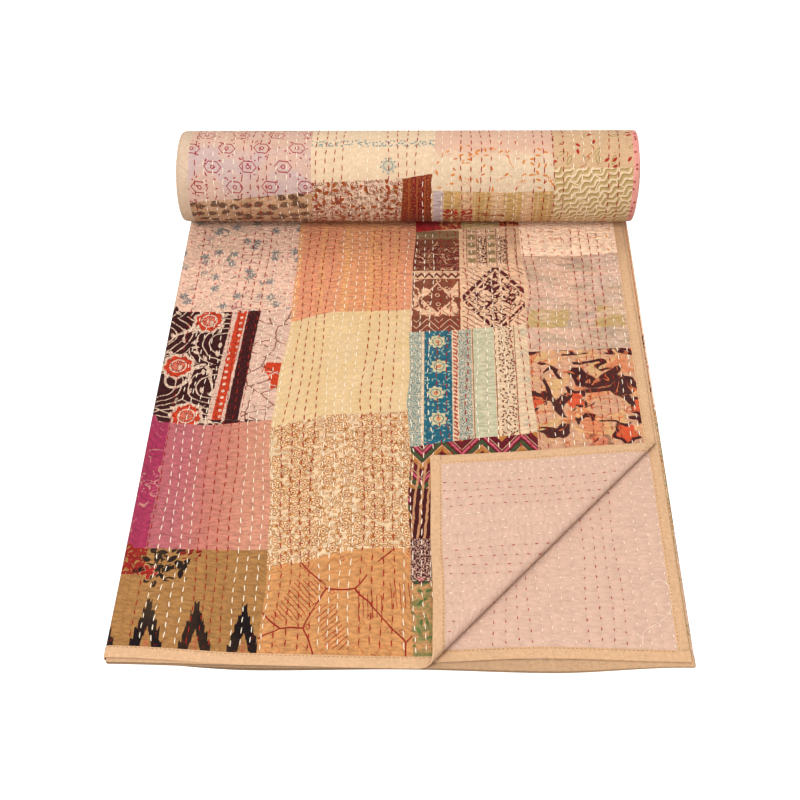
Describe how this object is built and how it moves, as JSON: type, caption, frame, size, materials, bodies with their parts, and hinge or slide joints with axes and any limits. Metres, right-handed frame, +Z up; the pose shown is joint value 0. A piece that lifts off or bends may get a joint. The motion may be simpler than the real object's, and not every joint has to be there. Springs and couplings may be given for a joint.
{
  "type": "kantha quilt",
  "caption": "Patchwork kantha quilt folded lengthwise in layers, its far end rolled up on top and one front corner turned back to show the plain backing.",
  "frame": {"origin": "middle of the footprint, on the surface that the quilt lies on", "axes": "+X along the roll, towards the turned-back corner; +Y from the front edge to the roll; +Z up"},
  "size_m": [0.5768, 0.7052, 0.1233],
  "materials": {
    "quilted_cotton": "soft washed cotton patchwork with a pink backing and rows of running stitch",
    "binding_cotton": "plain tan woven cotton, folded and stitched"
  },
  "bodies": {
    "root": {"quilt": "quilted_cotton", "binding_front": "binding_cotton", "binding_side_upper": "binding_cotton", "binding_side_lower": "binding_cotton"}
  },
  "joints": []
}
